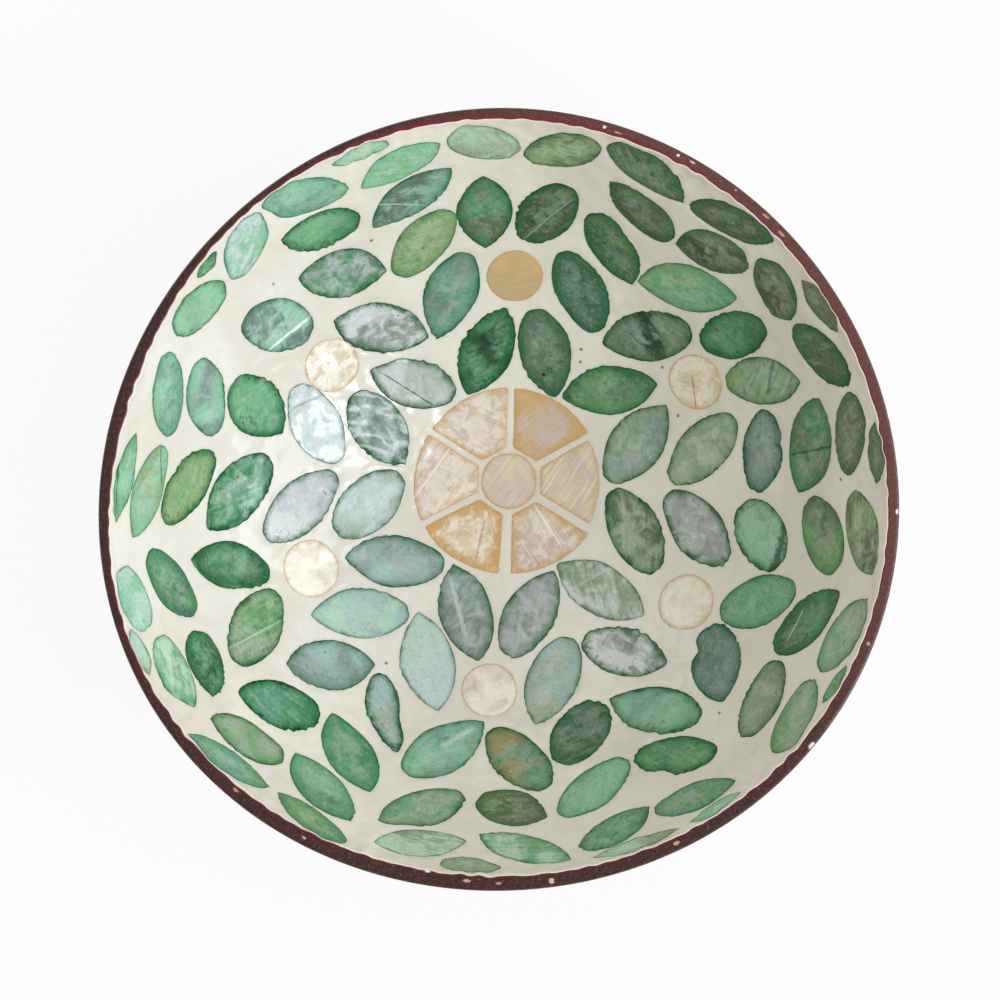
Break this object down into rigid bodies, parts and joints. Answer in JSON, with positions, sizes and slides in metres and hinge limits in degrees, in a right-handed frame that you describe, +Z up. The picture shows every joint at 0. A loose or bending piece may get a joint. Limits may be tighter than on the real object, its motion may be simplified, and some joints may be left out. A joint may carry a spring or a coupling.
{
  "type": "mosaic coconut shell bowl",
  "caption": "Round bowl of polished coconut shell, lined with leaf-shaped and round mother-of-pearl chips set flush in a pale filler bed. Stands on a small flat foot.",
  "frame": {"origin": "middle of the flat foot, on the surface the bowl stands on", "axes": "+Z up through the bowl's mouth; +Y towards the top of the picture, +X towards its right"},
  "size_m": [0.1358, 0.1358, 0.048],
  "materials": {
    "shell": "polished dark brown coconut shell under clear lacquer",
    "filler": "pale hard filler, rubbed flush and lacquered",
    "green_pearl": "green-dyed mother-of-pearl under clear lacquer",
    "cream_pearl": "cream mother-of-pearl with amber edges under clear lacquer"
  },
  "bodies": {
    "root": {"coconut_shell": "shell", "filler_bed": "filler", "flower_disc": "cream_pearl", "petal_1": "cream_pearl", "petal_2": "cream_pearl", "petal_3": "cream_pearl", "petal_4": "cream_pearl", "petal_5": "cream_pearl", "petal_6": "cream_pearl", "spot_1": "cream_pearl", "spot_2": "cream_pearl", "spot_3": "cream_pearl", "spot_4": "cream_pearl", "spot_5": "cream_pearl", "spot_6": "cream_pearl", "flower_leaf_1": "green_pearl", "flower_leaf_2": "green_pearl", "flower_leaf_3": "green_pearl", "flower_leaf_4": "green_pearl", "flower_leaf_5": "green_pearl", "flower_leaf_6": "green_pearl", "flower_leaf_7": "green_pearl", "flower_leaf_8": "green_pearl", "flower_leaf_9": "green_pearl", "flower_leaf_10": "green_pearl", "flower_leaf_11": "green_pearl", "flower_leaf_12": "green_pearl", "inner_leaves_1": "green_pearl", "inner_leaves_2": "green_pearl", "inner_leaves_3": "green_pearl", "inner_leaves_4": "green_pearl", "inner_leaves_5": "green_pearl", "inner_leaves_6": "green_pearl", "inner_leaves_7": "green_pearl", "middle_leaves_1": "green_pearl", "middle_leaves_2": "green_pearl", "middle_leaves_3": "green_pearl", "middle_leaves_4": "green_pearl", "middle_leaves_5": "green_pearl", "middle_leaves_6": "green_pearl", "outer_leaves_1": "green_pearl", "outer_leaves_2": "green_pearl", "outer_leaves_3": "green_pearl", "outer_leaves_4": "green_pearl", "outer_leaves_5": "green_pearl", "outer_leaves_6": "green_pearl", "upper_leaves_1": "green_pearl", "upper_leaves_2": "green_pearl", "upper_leaves_3": "green_pearl", "upper_leaves_4": "green_pearl", "upper_leaves_5": "green_pearl", "upper_leaves_6": "green_pearl", "upper_leaves_7": "green_pearl", "upper_leaves_8": "green_pearl", "lip_leaves_1": "green_pearl", "lip_leaves_2": "green_pearl", "lip_leaves_3": "green_pearl", "lip_leaves_4": "green_pearl"}
  },
  "joints": []
}
